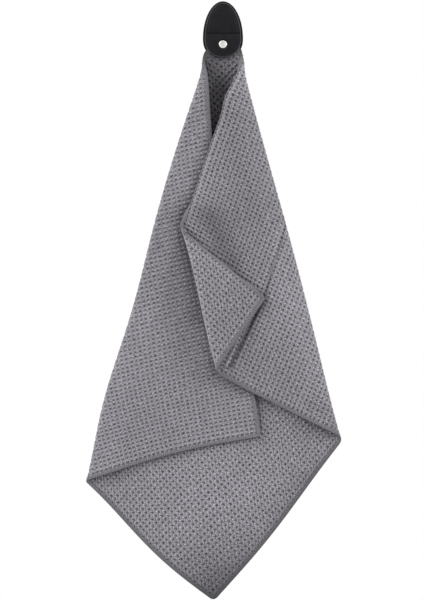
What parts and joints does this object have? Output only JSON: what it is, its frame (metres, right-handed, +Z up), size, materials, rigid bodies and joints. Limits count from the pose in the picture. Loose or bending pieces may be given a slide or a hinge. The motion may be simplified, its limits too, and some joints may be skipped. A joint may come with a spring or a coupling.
{
  "type": "golf towel on a magnetic patch",
  "caption": "Waffle-weave golf towel hung by one corner from an egg-shaped leather patch with a hidden magnet and a press-stud flap.",
  "frame": {"origin": "centre of the patch's flat back face, straight behind the magnet", "axes": "+Y out of the patch's back face towards the steel it clings to, +Z up along the hanging towel's length, +X to the right of someone facing the towel's front"},
  "size_m": [0.296, 0.0238, 0.6794],
  "materials": {
    "black_leather": "matte, fine grain",
    "core_foam": "matte black foam board",
    "magnet_nickel": "nickel plate",
    "snap_metal": "polished nickel plate",
    "waffle_cloth": "grey microfibre waffle weave",
    "edge_thread": "overlocked grey thread"
  },
  "bodies": {
    "patch": {"patch_back_leaf": "black_leather", "magnet_core": "core_foam", "magnet_disc": "magnet_nickel", "patch_front_cover": "black_leather", "snap_stud": "snap_metal", "snap_rivet": "snap_metal"},
    "flap": {"patch_front_flap": "black_leather", "snap_cap": "snap_metal", "snap_socket": "snap_metal"},
    "towel": {"towel_cloth": "waffle_cloth", "edge_inner_long": "edge_thread", "edge_left_short": "edge_thread", "edge_right_long": "edge_thread", "edge_corner_short": "edge_thread"}
  },
  "joints": [
    {"name": "flap_hinge", "type": "hinge", "parent": "patch", "child": "flap", "pos_m": [0, -0.0066, -0.0168], "axis": [-1, 0, 0], "range_deg": [0, 150]},
    {"name": "towel_swing", "type": "hinge", "parent": "patch", "child": "towel", "pos_m": [0, -0.0028, -0.0296], "axis": [0, 1, 0], "range_deg": [-30, 30]}
  ]
}
